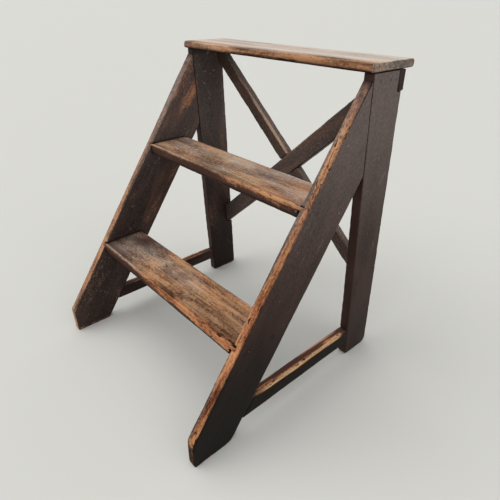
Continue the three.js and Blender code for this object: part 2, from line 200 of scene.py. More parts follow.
def plug_nail_holes(shape):
    """Closes the nail holes of a board, because the nails fill them."""
    for head, into, reach in NAILS:
        in_hole = set()
        for vert in shape.verts:
            offset = np.array(vert.co) - head
            along = offset @ into
            if -HOLE_MOUTH < along < reach + HOLE_RADIUS:
                if np.linalg.norm(offset - along * into) < HOLE_RADIUS:
                    in_hole.add(vert)
        inner = [face for face in shape.faces if all(v in in_hole for v in face.verts)]
        bmesh.ops.delete(shape, geom=inner, context="FACES")
    bmesh.ops.holes_fill(shape, edges=[e for e in shape.edges if e.is_boundary], sides=0)
    bmesh.ops.triangulate(shape, faces=shape.faces)


# ------------------------------------------------------------------ boards

UP, DOWN, FRONT, BACK = (0, 0, 1), (0, 0, -1), (0, -1, 0), (0, 1, 0)
LEFT, RIGHT = (-1, 0, 0), (1, 0, 0)

# What each point of a board's surface is marked with, from 0 to 1: how far the stain is worn off,
# how reddish the wood is rubbed, how dusty it is (on the outer faces of the sides also a painted
# sheen), how dark it is with dirt and with painted shade, and how easily it shows pits.
MARKS = ("bare", "rubbed", "bleached", "dark", "pitted")


class Board:
    """A board of the frame as an even net of points, ready to be worn and stained."""

    def __init__(self, node, grain, seed):
        self.node = node
        self.seed = seed
        self.wear = bpy.context.scene.stool_wear
        shape = bmesh.new()
        shape.from_mesh(NODES[node].data)
        bmesh.ops.remove_doubles(shape, verts=shape.verts, dist=0.01 * MM)
        plug_nail_holes(shape)
        mesh = bpy.data.meshes.new(node + "_wood")
        shape.to_mesh(mesh)
        shape.free()
        self.piece = bpy.data.objects.new(node + "_wood", mesh)
        bpy.context.scene.collection.objects.link(self.piece)
        net = self.piece.modifiers.new("even net", "REMESH")
        net.mode = "VOXEL"
        net.voxel_size = self.wear.mesh_step
        depsgraph = bpy.context.evaluated_depsgraph_get()
        self.piece.data = bpy.data.meshes.new_from_object(self.piece.evaluated_get(depsgraph))
        self.piece.data.name = node + "_wood"
        self.piece.modifiers.clear()
        bpy.data.meshes.remove(mesh)
        self.points = self.read("vertices", "co", 3)
        self.normals = self.read("vertices", "normal", 3)
        self.edges = self.read("edges", "vertices", 2, np.int32)
        self.across, self.height = self.points[:, 0] / MM, self.points[:, 2] / MM
        self.new = self.points.copy()
        self.grain = np.array(grain, float) / np.linalg.norm(grain)
        self.marks = {name: np.zeros(len(self.points)) for name in MARKS}

    def read(self, kind, field, width, dtype=np.float32):
        items = getattr(self.piece.data, kind)
        values = np.zeros(len(items) * width, dtype)
        items.foreach_get(field, values)
        return values.reshape(-1, width).astype(np.int64 if dtype == np.int32 else float)

    def averaged(self, values):
        """The mean of each point's neighbours."""
        count = len(self.points)
        a, b = self.edges[:, 0], self.edges[:, 1]
        total = np.bincount(a, values[b], count) + np.bincount(b, values[a], count)
        return total / np.maximum(np.bincount(self.edges.ravel(), minlength=count), 1)

    def spread(self, values, rounds):
        for _ in range(rounds):
            values = 0.5 * values + 0.5 * self.averaged(values)
        return values

    def facing(self, direction, sharpness=0.75):
        """1 where the board faces that way, 0 where it doesn't."""
        unit = np.array(direction, float) / np.linalg.norm(direction)
        return eased(self.normals @ unit, sharpness - 0.15, sharpness + 0.15)

    def depth(self, direction):
        """Millimetres in from the board's furthest point that way."""
        unit = np.array(direction, float) / np.linalg.norm(direction)
        along = self.points @ unit
        return (along.max() - along) / MM

    def mottled(self, along, across, seed, octaves=3):
        """Noise drawn out along the grain, in patches of these sizes in millimetres."""
        on_grain = self.points @ self.grain
        rest = self.points - np.outer(on_grain, self.grain)
        return mottle(rest / across * along + np.outer(on_grain, self.grain), (along,) * 3,
                      self.seed * 101 + seed, octaves)

    def wear_arrises(self, worn, rounds=12):
        """Rounds every arris, from lightly where worn is 0 to heavily where it is 1."""
        uneven = eased(self.mottled(38, 16, 1), 0.3, 0.75)
        weight = np.clip(0.06 + 0.22 * uneven + 0.55 * worn * (0.35 + 0.65 * uneven), 0, 0.95)
        for _ in range(rounds):
            mean = np.stack([self.averaged(self.new[:, i]) for i in range(3)], axis=1)
            self.new += weight[:, None] * (mean - self.new)
        lost = np.linalg.norm(self.new - self.points, axis=1)
        most = self.wear.arris_loss * (0.35 + 0.65 * worn)
        kept = most * np.tanh(lost / most) / np.maximum(lost, 1e-9)
        self.new = self.points + (self.new - self.points) * kept[:, None]
        lost = lost * kept / MM
        self.arris = np.clip(self.spread(eased(lost, 0.25, 1.6), 2) * 1.25, 0, 1)

    def chip(self, amount, threshold, bared):
        """Knocks small chips out of the arrises; bared is how bare they leave the wood."""
        chips = eased(self.mottled(9, 6, 2, 2), threshold, threshold + 0.16) * self.arris * amount
        self.new -= self.normals * (chips * self.wear.chip_depth)[:, None]
        self.mark("bare", chips * bared)

    def dent(self):
        """Faces wander a little, as hand-planed and knocked boards do."""
        wander = self.mottled(70, 22, 3) - 0.5
        knocks = eased(self.mottled(16, 11, 4, 2), 0.74, 0.9)
        depth = self.wear.dent_depth
        self.new += self.normals * (2 * wander * depth - 1.6 * knocks * depth)[:, None]
        self.mark("dark", 0.25 * knocks)

    def age(self, worn, chips, threshold=0.66, bared=0.8):
        """Rounds the arrises as heavily as worn says, dents the faces and chips the arrises."""
        self.wear_arrises(worn)
        self.dent()
        self.chip(chips, threshold, bared)

    def hollow(self, share):
        """Hollows the upper face, as feet do, by a share of the dish depth."""
        self.new[:, 2] -= share * self.facing(UP) * self.wear.dish_depth

    def mark(self, name, amount):
        self.marks[name] = np.clip(self.marks[name] + amount, 0, 1)

    def scratch(self, where, count, seed, longest):
        """Faint pale scratches, more or less along the grain, starting somewhere on where."""
        chance = np.random.default_rng(self.seed * 7 + seed)
        for start in chance.choice(np.flatnonzero(where > 0.5), count):
            way = self.grain + chance.normal(0, 0.5, 3)
            way -= (way @ self.normals[start]) * self.normals[start]
            way /= np.linalg.norm(way)
            offset = self.points - self.points[start]
            along = np.clip(offset @ way, 0, chance.uniform(0.25, 1) * longest * MM)
            gap = np.linalg.norm(offset - along[:, None] * way, axis=1) / MM
            self.mark("bleached", chance.uniform(0.06, 0.22) * eased(gap, 2.0, 0.6) * where)

    def rust_nails(self):
        """Wood goes dark round an iron nail head."""
        for head, _, _ in NAILS:
            gap = np.linalg.norm(self.points - head, axis=1) / MM
            self.mark("dark", 0.4 * eased(gap, 5.2, 3.2))

    def finished(self, material, slot):
        """Writes the worn points and the marks to the mesh and hands the piece to the frame."""
        mesh = self.piece.data
        self.new = np.clip(self.new, CAD_BOX[0], CAD_BOX[1])
        mesh.vertices.foreach_set("co", self.new.astype(np.float32).ravel())
        for name, values in self.marks.items():
            attribute = mesh.attributes.new(name, "FLOAT", "POINT")
            attribute.data.foreach_set("value", np.clip(values, 0, 1).astype(np.float32))
        mesh.update()
        mesh.shade_smooth()
        mesh.materials.clear()
        mesh.materials.append(material)
        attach(self.piece, ROOT)
        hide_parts(self.node)
        return self.piece


def edge_normals(node, across):
    """Unit normals of a board's long edges, largest first: across is the axis through it."""
    totals = {}
    for face in NODES[node].data.polygons:
        if abs(face.normal[across]) < 0.35:
            key = tuple(round(c, 2) for c in face.normal)
            totals[key] = totals.get(key, 0) + np.array(face.normal) * face.area
    largest_first = sorted(totals.values(), key=np.linalg.norm, reverse=True)
    return [total / np.linalg.norm(total) for total in largest_first]


def face_normal(node, direction):
    """The exact unit normal of the faces that point roughly that way, because boards lean."""
    total = np.zeros(3)
    for face in NODES[node].data.polygons:
        if face.normal.dot(direction) > 0.9:
            total += np.array(face.normal) * face.area
    return total / np.linalg.norm(total)


def grain_of_side(node):
    """A side board's grain runs along its front edge, in the plane of the side."""
    normal = edge_normals(node, 0)[0]
    return np.array([0, normal[2], -normal[1]]) * np.sign(-normal[1] or 1)


def front_edge_normal(node):
    return next(n for n in edge_normals(node, 0) if n[1] < -0.5)


# ------------------------------------------------------------------ materials

def add(tree, kind, inputs=None, **settings):
    """Adds a node with its settings; an input takes a value or another node's output."""
    node = tree.nodes.new(kind)
    for name, value in settings.items():
        setattr(node, name, value)
    for socket, value in (inputs or {}).items():
        if isinstance(value, bpy.types.NodeSocket):
            tree.links.new(value, node.inputs[socket])
        else:
            node.inputs[socket].default_value = value
    return node


# Patterns in the wood: millimetres along and across the grain, detail and distortion. The growth
# rings, pores and grit of real softwood are finer than this, and are drawn coarse enough to show.
PATTERNS = {
    "growth": (170, 9, 3.0, 1.2),
    "pores": (13, 3.4, 2.0, 0.5),
    "grit": (4.6, 3.6, 2.0, 0.3),
    "pits": (12.0, 2.8, 2.0, 0.6),
    "dust": (2.4, 1.3, 2.0, 0.0),
    "brushing": (120, 34, 4.0, 0.4),
}


def old_wood(name, grain, film, gloss=0.0, streaky=0.0):
    """Softwood under an old spirit stain, brushed on and worn through: the stain is near black
    and satin, thin stain shows the reddish wood, bare wood is dry and matt with raised grain.
    Film is the colour of the dust on it, and on the stained sides also of a painted sheen, gloss
    how much smoother than usual the stain is, and streaky how much the dust follows the growth
    rings."""
    colours = bpy.context.scene.stool_colours
    material = bpy.data.materials.new(name)
    material.use_nodes = True
    tree = material.node_tree
    tree.nodes.clear()
    coordinates = add(tree, "ShaderNodeTexCoord").outputs["Object"]
    turn = Vector(grain).rotation_difference(Vector((1, 0, 0))).to_euler()
    turned = add(tree, "ShaderNodeMapping", {"Vector": coordinates, "Rotation": turn})
    pattern = {}
    for key, (along, across, detail, distortion) in PATTERNS.items():
        scale = (1 / (along * MM), 1 / (across * MM), 1 / (across * MM))
        scaled = add(tree, "ShaderNodeMapping", {"Vector": turned.outputs[0], "Scale": scale})
        noise = add(tree, "ShaderNodeTexNoise", {
            "Vector": scaled.outputs[0], "Scale": 1.0, "Detail": detail, "Distortion": distortion})
        pattern[key] = noise.outputs["Fac"]
    mark = {}
    for key in MARKS:
        mark[key] = add(tree, "ShaderNodeAttribute", attribute_name=key).outputs["Fac"]

    # sums of patterns and marks, each then eased from 0 to 1 between two levels
    sums = {
        "figure": ((pattern["growth"], 0.26), (pattern["pores"], 0.14), (pattern["grit"], 0.20),
                   (pattern["brushing"], 0.40)),
        "stain": ((pattern["brushing"], 0.8), (pattern["growth"], 0.12), (pattern["grit"], 0.08)),
        "worn": ((mark["bare"], 1.0), (pattern["brushing"], 0.5), (pattern["grit"], 0.4),
                 (pattern["pores"], 0.2)),
        # this share also carries the painted sheen that pales the outer faces of the sides towards
        # the top
        "dry": ((mark["bleached"], 1.0), (pattern["growth"], streaky), (pattern["grit"], 0.25)),
        "pits": ((mark["pitted"], 0.17), (pattern["pits"], 1.0)),
        # this share carries dirt and also painted shade: under the boards, under the top board, on
        # the lower fronts and near the floor
        "soiled_and_shaded": ((mark["dark"], 1.0), (pattern["grit"], 0.20)),
        "relief": ((pattern["growth"], 0.5), (pattern["grit"], 0.3), (pattern["dust"], 0.2)),
    }
    levels = {
        "figure": (0.39, 0.61),
        "stain": (0.30, 0.74),
        "worn": (0.82, 1.22),
        "dry": (0.20 + streaky / 2, 1.15 + streaky / 2),
        "pits": (0.70, 0.80),
        "soiled_and_shaded": (0.12, 1.12),
        "relief": (0.0, 1.0),
    }
    share = {}
    for key, terms in sums.items():
        total = 0.0
        for value, weight in terms:
            total = add(tree, "ShaderNodeMath", {0: value, 1: weight, 2: total},
                        operation="MULTIPLY_ADD").outputs[0]
        low, high = levels[key]
        eased_total = add(tree, "ShaderNodeMapRange", {
            "Value": total, "From Min": low, "From Max": high}, interpolation_type="SMOOTHSTEP")
        share[key] = eased_total.outputs["Result"]

    # each mix is (how much of the second colour, first colour, second colour), which go to the
    # sockets 0, 6 and 7 of a colour mix; a name means the result of an earlier mix
    mixes = {
        "stained": (share["stain"], colours.stain_deep, colours.stain_thin),
        "reddened": (mark["rubbed"], "stained", colours.stain_warm),
        "bare": (share["figure"], colours.bare_deep, colours.bare_light),
        "polished": (share["figure"], colours.rubbed_deep, colours.rubbed_light),
        "wood": (mark["rubbed"], "bare", "polished"),
        "worn": (share["worn"], "reddened", "wood"),
        # dust, and on the outer faces of the sides a painted sheen
        "dusty": (share["dry"], "worn", film),
        "pitted": (share["pits"], "dusty", colours.pit),
        # dirt, and painted shade
        "soiled_and_shaded": (share["soiled_and_shaded"], "pitted", colours.grime_and_shade),
    }
    made = {}
    for key, (amount, first, second) in mixes.items():
        ends = [made[end] if isinstance(end, str) else list(end) for end in (first, second)]
        mixed = add(tree, "ShaderNodeMix", {0: amount, 6: ends[0], 7: ends[1]}, data_type="RGBA")
        made[key] = mixed.outputs[2]

    sunk = add(tree, "ShaderNodeMath", {0: share["pits"], 1: -0.8, 2: share["relief"]},
               operation="MULTIPLY_ADD")
    bump = add(tree, "ShaderNodeBump", {
        "Height": sunk.outputs[0], "Strength": 0.5, "Distance": 0.5 * MM})
    rough = add(tree, "ShaderNodeMapRange", {
        "Value": share["worn"], "To Min": 0.50 - gloss, "To Max": 0.80})
    shader = add(tree, "ShaderNodeBsdfPrincipled", {
        "Base Color": made["soiled_and_shaded"], "Roughness": rough.outputs[0], "Normal": bump.outputs[0],
        "IOR": 1.47, "Specular IOR Level": 0.10})
    add(tree, "ShaderNodeOutputMaterial", {"Surface": shader.outputs[0]})
    return material


def oxidised_iron():
    """Wrought nail heads gone dull: mottled grey metal with brown rust in the low places."""
    material = bpy.data.materials.new("oxidised_iron")
    material.use_nodes = True
    tree = material.node_tree
    tree.nodes.clear()
    colours = bpy.context.scene.stool_colours
    coordinates = add(tree, "ShaderNodeTexCoord").outputs["Object"]
    spots = add(tree, "ShaderNodeTexNoise", {
        "Vector": coordinates, "Scale": 1 / (1.8 * MM), "Detail": 3.0}).outputs["Fac"]
    clean = add(tree, "ShaderNodeMapRange", {"Value": spots, "From Min": 0.36, "From Max": 0.6})
    metal = add(tree, "ShaderNodeMix", {
        0: clean.outputs[0], 6: list(colours.rust), 7: list(colours.iron)}, data_type="RGBA")
    bump = add(tree, "ShaderNodeBump", {"Height": spots, "Distance": 0.2 * MM})
    shader = add(tree, "ShaderNodeBsdfPrincipled", {
        "Base Color": metal.outputs[2], "Normal": bump.outputs[0], "Metallic": 0.55,
        "Roughness": 0.6})
    add(tree, "ShaderNodeOutputMaterial", {"Surface": shader.outputs[0]})
    return material


# ------------------------------------------------------------------ pieces

# Distances, heights and places across the stool are in millimetres here. The marks are shares, and
# most of them are a face of the board, from 0 to 1, times how strongly it is marked there.
ALONG_STEP = RIGHT
INNER_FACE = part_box("right_stringer")[0].x / MM  # a side's inner face, from the stool's middle


class STOOL_OT_top_board(bpy.types.Operator):
    """The top board: bleached on top, rubbed orange-brown along its rounded front"""

    bl_idname = "step_stool.top_board"
    bl_label = "Top board"

    def execute(self, context):
        board = Board("top_tread", ALONG_STEP, 11)
        board.age(0.25 + 0.35 * board.facing((0, -1, 0.9), 0.5), chips=0.7)
        board.hollow(0.4 * eased(np.abs(board.across), 230, 40))
        top, front = board.facing(UP), board.facing((0, -1, 0.15), 0.45)
        end = np.maximum(board.facing(RIGHT), board.facing(LEFT))
        patches = board.mottled(170, 26, 20)
        stains = eased(board.mottled(60, 9, 29), 0.50, 0.70)
        fore = top * eased(board.depth(FRONT) + 40 * (patches - 0.5), 46, 6)
        dusty_left = eased(board.across, 60, -160)
        dirty_right = eased(board.across, -160, 20)
        board.mark("bare", 0.85 * top + front * (0.45 + 0.5 * patches))
        board.mark("bare", 0.35 * board.arris + 0.35 * end)
        board.mark("bleached", top * (0.68 + 0.60 * (patches - 0.5)) - 0.36 * fore)
        board.mark("bleached", front * (0.12 + 0.34 * patches) * dusty_left + 0.36 * end)
        board.mark("rubbed", 0.26 * fore + front * (0.26 + 0.44 * board.mottled(80, 9, 21)))
        # painted shade on the underside; the end grain a little darker
        board.mark("dark", 0.7 * board.facing(DOWN) + 0.16 * end)
        board.mark("dark", front * (0.06 + 0.24 * dirty_right + 0.40 * stains))
        # painted shade on the lower part of the front, under the rounded nose
        board.mark("dark", front * 0.5 * eased(board.depth(UP), 8, 13))
        board.mark("pitted", 0.30 * front * board.mottled(50, 14, 34) + 0.5 * end + 0.1 * top)
        board.rust_nails()
        film = context.scene.stool_colours.bleached
        material = old_wood("grey_worn_softwood", ALONG_STEP, film, streaky=0.45)
        board.finished(material, "top_board")
        return {"FINISHED"}


def tread_on(board, left, right, edge_rub):
    """The top of a tread: bare where feet land, stained and scuffed to the left, dirty along the
    band behind its nose, and darkened with painted shade where it meets the sides."""
    top = board.facing(UP)
    from_front = board.depth(FRONT)
    patches = board.mottled(120, 46, 20)
    clouds = board.mottled(46, 26, 35)
    red = eased(board.mottled(90, 40, 39), 0.46, 0.66)
    bald = eased(patches, 0.45, 0.75)
    by_back = eased(from_front, 74, 100)
    board.mark("bare", top * (0.84 + 0.50 * (clouds - 0.5)) * (1 - 0.58 * left))
    board.mark("rubbed", top * (0.06 + 0.20 * right + 0.26 * red + 0.35 * by_back + 0.30 * left))
    board.mark("bleached", top * (0.32 - 0.22 * edge_rub + 0.26 * bald) * (1 - 0.8 * left))
    dirty = eased(clouds, 0.47, 0.66) * (1 - 0.3 * right) * (1 - 0.75 * left)
    board.mark("dark", (0.10 + 0.30 * edge_rub) * top * dirty)
    board.mark("bleached", 0.22 * left * top * (0.4 + 1.2 * clouds))
    border = eased(from_front + 7 * (clouds - 0.5), 17, 6) * eased(from_front, 2, 5)
    board.mark("dark", 0.34 * top * border)
    # painted shade in the corners where the top meets the sides
    from_side = INNER_FACE - np.abs(board.across)
    board.mark("dark", 0.5 * top * eased(from_side + 6 * (clouds - 0.5), 9, 1))
    specks = eased(board.mottled(5, 4, 36, 1), 0.84, 0.95)
    board.mark("bleached", 0.36 * top * specks * (0.3 + 0.7 * left))
    board.scratch(top, 10, 41, longest=45)


def rub_nose(board, right, edge_rub):
    """The front of a tread: a worn stripe along its arris, and shoe wear below it if it is well
    used."""
    top, front = board.facing(UP), board.facing(FRONT)
    from_arris = board.depth(FRONT) + board.depth(UP)
    below_top = board.depth(UP)
    stripe = eased(from_arris - 5.5 * right * edge_rub, 3.5 + 3 * edge_rub, 2 + edge_rub)
    stripe = stripe * (0.55 + 0.8 * board.mottled(80, 14, 23))
    board.mark("bare", (0.55 + 0.2 * edge_rub) * stripe)
    board.mark("rubbed", stripe * edge_rub ** 2 * eased(board.across, -150, 50))
    board.mark("bleached", 0.20 * stripe * eased(board.across, 40, -140))
    streaks = eased(board.mottled(70, 7, 37), 0.45, 0.7)
    shoe_wear = eased(below_top + 7 * (streaks - 0.5), 17, 9) * eased(board.across, -120, 50)
    shoe_wear = front * edge_rub ** 2 * shoe_wear
    board.mark("bare", front * (0.18 + 0.16 * streaks) + 0.60 * shoe_wear)
    board.mark("rubbed", 0.40 * front + 0.50 * shoe_wear)
    # painted shade on the lower part of the front, below the nose, with streaks of dirt
    board.mark("dark", front * (0.50 * eased(below_top, 13, 19) + 0.16 * streaks))
    board.mark("pitted", np.maximum(front, stripe) * (0.35 + 0.45 * right))
    board.mark("pitted", top * (0.10 + 0.20 * right))


def make_tread(node, seed, dark_left, edge_rub):
    """A tread; dark_left is how much stain its left end keeps, edge_rub how worn its nose is."""
    board = Board(node, ALONG_STEP, seed)
    board.age(0.10 + 0.55 * board.facing((0, -1, 1), 0.6), chips=1.0, threshold=0.62, bared=0.56)
    board.hollow(eased(np.abs(board.across), 235, 60) * eased(board.depth(FRONT), 100, 10))
    uneven = 120 * (board.mottled(120, 46, 20) - 0.5)
    left = eased(board.across + uneven, -20, -120) * dark_left
    right = eased(board.across, 20, 190)
    tread_on(board, left, right, edge_rub)
    rub_nose(board, right, edge_rub)
    back = board.facing(BACK)
    back_arris = eased(board.depth(BACK) + board.depth(UP), 8, 4) * (1 - left)
    board.mark("rubbed", back * 0.5 * (1 - left))
    board.mark("bare", back * 0.4 + 0.6 * back_arris)
    board.mark("bleached", 0.3 * back_arris * right)
    # painted shade on the underside
    board.mark("dark", 0.7 * board.facing(DOWN))
    board.rust_nails()
    return board


class STOOL_OT_treads(bpy.types.Operator):
    """The lower and the middle tread, let into the sides"""

    bl_idname = "step_stool.treads"
    bl_label = "Treads"

    def execute(self, context):
        wood = old_wood("trodden_softwood", ALONG_STEP, context.scene.stool_colours.bleached)
        make_tread("lower_tread", 23, dark_left=1.0, edge_rub=1.0).finished(wood, "tread")
        make_tread("middle_tread", 31, dark_left=0.12, edge_rub=0.45).finished(wood, "tread")
        return {"FINISHED"}


def stain_side(board, sign, low_shade, scratches, longest):
    """Marks that both boards of a side share: a dull, filmed outer face with a painted sheen that
    pales it towards the top and painted shade that darkens it towards the floor by low_shade, and
    a darker inner face with reddish wood showing through and painted shade at its top, under the
    top board."""
    outer, inner = board.facing((sign, 0, 0)), board.facing((-sign, 0, 0))
    height = board.height
    # painted sheen: the outer face is paled more towards the top, standing in for a satin
    # reflection
    board.mark("bleached", outer * (0.07 + 0.33 * eased(height, 120, 600)))
    board.mark("rubbed", 0.18 * outer)
    # painted shade: the outer face darkens towards the floor, by low_shade
    board.mark("dark", outer * low_shade * eased(height, 340, 60))
    in_clusters = eased(board.mottled(90, 60, 40), 0.42, 0.60)
    flecks = eased(board.mottled(7, 6, 24, 1), 0.90, 0.96) * in_clusters
    board.mark("bleached", (0.42 * outer + 0.25 * inner) * flecks)
    scrapes = eased(board.mottled(48, 3.6, 38, 1), 0.90, 0.97) * outer
    board.mark("bare", 0.5 * scrapes)
    streaks = eased(board.mottled(110, 26, 25), 0.50, 0.74)
    board.mark("bare", inner * (0.05 + 0.26 * streaks))
    board.mark("rubbed", inner * (0.05 + 0.75 * streaks * eased(height, 120, 330)))
    board.mark("bleached", inner * (0.19 + 0.12 * eased(height, 300, 450)))
    board.mark("dark", 0.30 * inner * eased(height, 200, 60))
    board.scratch(inner, scratches, 42, longest)
    board.scratch(outer, 4, 43, longest=30)
    board.mark("bare", 0.35 * eased(height, 12, 2))
    # painted shade at the top of the inner face, under the top board
    board.mark("dark", 0.55 * inner * eased(height, 590, 612))


def wear_front_edge(board, edge, sign):
    """The front edge of a stringer. The right one is worn to orange wood towards its outer side,
    and pitted most at its top and near the floor; the left one is mostly greyed."""
    height = board.height
    outwards = sign * board.across - INNER_FACE
    patches = board.mottled(70, 8, 26)
    low, upper = eased(height, 560, 300), eased(height, 250, 420)
    top_end = eased(height, 525, 565)
    worn_side = eased(outwards + 13 * (patches - 0.5) - 5 * upper, 1.5, 6)
    if sign > 0:
        rub = worn_side * (0.65 + 0.35 * low) * (1 - 0.7 * top_end)
        greyed = 0.26 + 0.08 * upper - 0.18 * rub
        wormed = eased(height, 400, 450) * eased(height, 560, 530) + 0.6 * eased(height, 190, 110)
        pitted = 0.20 + (0.35 + 1.1 * wormed) * rub
    else:
        rub = worn_side * 0.35 * low * (1 - 0.7 * top_end)
        greyed = 0.42 - 0.2 * low
        pitted = 0.35
    board.mark("bare", edge * (0.36 + 0.60 * rub))
    board.mark("rubbed", edge * (0.25 + rub * (0.45 + 0.5 * patches) * (1 - 0.4 * upper)))
    board.mark("bleached", edge * greyed)
    outline = eased(outwards + 3 * (patches - 0.5), 16.8, 18.6)
    board.mark("dark", 0.62 * edge * outline)
    board.mark("dark", 0.30 * edge * eased(height, 300, 120) * patches)
    board.mark("pitted", edge * pitted * (0.4 + 1.2 * patches))
    board.mark("rubbed", 0.5 * edge * top_end)
    if sign > 0:
        toe_cut = board.facing(FRONT, 0.93) * eased(height, 62, 44)
        board.mark("dark", 0.75 * toe_cut)
    # painted shade at the top of the front edge, under the top board
    board.mark("dark", edge * (0.5 * eased(height, 588, 604) + 0.18 * top_end))


class STOOL_OT_stringers(bpy.types.Operator):
    """The two leaning stringers, worn to bare wood along their front edges"""

    bl_idname = "step_stool.stringers"
    bl_label = "Stringers"

    def execute(self, context):
        for side, sign, seed in (("left", -1, 41), ("right", 1, 47)):
            name = side + "_stringer"
            grain = grain_of_side(name)
            board = Board(name, grain, seed)
            edge = board.facing(front_edge_normal(name), 0.6)
            board.age(0.10 + 0.35 * edge, chips=0.8, bared=0.4)
            stain_side(board, sign, low_shade=0.95, scratches=12, longest=60)
            gripped = eased(board.height, 455, 520) * eased(board.mottled(100, 24, 46), 0.42, 0.62)
            gripped = board.facing((-sign, 0, 0)) * gripped
            board.mark("bare", 0.34 * gripped)
            board.mark("rubbed", 0.50 * gripped)
            wear_front_edge(board, edge, sign)
            board.rust_nails()
            film = context.scene.stool_colours.bloom_and_sheen
            board.finished(old_wood("stained_stringer_" + side, grain, film, 0.05), "side")
        return {"FINISHED"}


class STOOL_OT_rear_legs(bpy.types.Operator):
    """The two rear legs, stained dark with paler arrises"""

    bl_idname = "step_stool.rear_legs"
    bl_label = "Rear legs"

    def execute(self, context):
        for side, sign, seed in (("left", -1, 53), ("right", 1, 59)):
            name = side + "_rear_leg"
            grain = grain_of_side(name)
            board = Board(name, grain, seed)
            board.age(0.10, chips=0.7, bared=0.4)
            stain_side(board, sign, low_shade=0.36, scratches=6, longest=26)
            front = board.facing(FRONT)
            outer, inner = board.facing((sign, 0, 0)), board.facing((-sign, 0, 0))
            board.mark("bare", 0.20 * board.arris * (1 - outer) + 0.08 * front)
            board.mark("rubbed", 0.15 * board.arris + 0.20 * front)
            board.mark("dark", 0.25 * front)
            board.mark("dark", 0.4 * inner * eased(board.height, 330, 120))
            board.mark("bleached", 0.06 * board.arris)
            board.rust_nails()
            film = context.scene.stool_colours.bloom_and_sheen
            board.finished(old_wood("stained_leg_" + side, grain, film, 0.05), "side")
        return {"FINISHED"}


class STOOL_OT_foot_rails(bpy.types.Operator):
    """The low side rails, their upper arris rubbed to a pale stripe by feet"""

    bl_idname = "step_stool.foot_rails"
    bl_label = "Foot rails"

    def execute(self, context):
        wood = old_wood("stained_rail", BACK, context.scene.stool_colours.straw)
        for side, sign, seed in (("left", -1, 61), ("right", 1, 67)):
            board = Board(side + "_foot_rail", BACK, seed)
            board.age(0.1 + 0.6 * board.facing((sign, 0, 1), 0.55), chips=0.8, bared=0.4)
            from_outside = board.depth((sign, 0, 0))
            patches = board.mottled(70, 9, 27)
            middle = eased(board.depth(FRONT), 30, 80) * eased(board.depth(BACK), 20, 60)
            stripe = eased(from_outside + board.depth(UP) + 8 * (patches - 0.5), 7.0, 4.2)
            stripe = stripe * (0.12 + 0.88 * middle)
            upper, outer = board.facing(UP), board.facing((sign, 0, 0))
            streaks = eased(board.mottled(110, 5, 44), 0.40, 0.62) * middle
            board.mark("bare", stripe + upper * (0.12 + 0.62 * streaks))
            board.mark("bleached", 0.62 * stripe)
            board.mark("rubbed", 0.40 * stripe + 0.75 * upper * (1 - stripe))
            board.mark("dark", (1 - stripe) * 0.85 * outer)
            board.mark("bare", 0.5 * eased(from_outside + board.depth(DOWN), 5, 3) * patches)
            board.mark("pitted", 0.5 * stripe + 0.5 * upper)
            board.finished(wood, "foot_rail")
        return {"FINISHED"}


class STOOL_OT_braces(bpy.types.Operator):
    """The two diagonal back braces, halved where they cross"""

    bl_idname = "step_stool.braces"
    bl_label = "Back braces"

    # name, seed, dust on the upper edge, dust on the face, how far the arris has split away
    BRACES = (
        ("brace_low_left", 71, 0.26, 0.24, 0.2),
        ("brace_low_right", 73, 0.32, 0.20, 0.9),
    )

    def execute(self, context):
        film = context.scene.stool_colours.bleached
        for name, seed, edge_dust, face_dust, split_share in self.BRACES:
            normal = next(n for n in edge_normals(name, 1) if n[2] > 0.5)
            grain = np.array([normal[2], 0, -normal[0]])
            board = Board(name, grain, seed)
            board.age(0.08, chips=0.5, bared=0.32)
            upper, face = board.facing(normal, 0.6), board.facing(FRONT)
            streaks = eased(board.mottled(120, 16, 28), 0.42, 0.75)
            arris = board.arris
            board.mark("bare", 0.16 * arris + face * (0.06 + 0.14 * streaks) + 0.30 * upper)
            board.mark("rubbed", 0.2 * arris + face * (0.20 + 0.65 * streaks) + 0.40 * upper)
            board.mark("bleached", edge_dust * upper + face_dust * face)
            from_arris = board.depth(normal) + board.depth(face_normal(name, FRONT))
            split = eased(from_arris, 5.5, 3.0) * eased(board.mottled(140, 9, 45), 0.32, 0.46)
            split = split * eased(board.height, 570, 520) * eased(board.height, 380, 430)
            split = split_share * split
            board.mark("bare", 0.85 * split)
            board.mark("rubbed", 0.25 * split)
            board.mark("bleached", 0.22 * split)
            board.rust_nails()
            board.finished(old_wood("stained_" + name, grain, film, 0.03), "brace")
        return {"FINISHED"}


# ------------------------------------------------------------------ nails

HEAD_RADIUS = 3.2 * MM
HEAD_THICKNESS = 1.4 * MM
HEAD_SIDES = 14
HEAD_UNEVENNESS = 0.12  # the share by which the smallest head can be smaller than the largest
# the domed outline of a head, from its middle: shares of its radius and of its thickness
HEAD_OUTLINE = ((0.0, 0.32), (0.45, 0.28), (0.8, 0.12), (1.0, -0.2), (0.97, -1.0))
SHANK_RADIUS = 1.4 * MM
SHANK_TIP_RADIUS = 0.35 * MM
SHANK_SIDES = 10


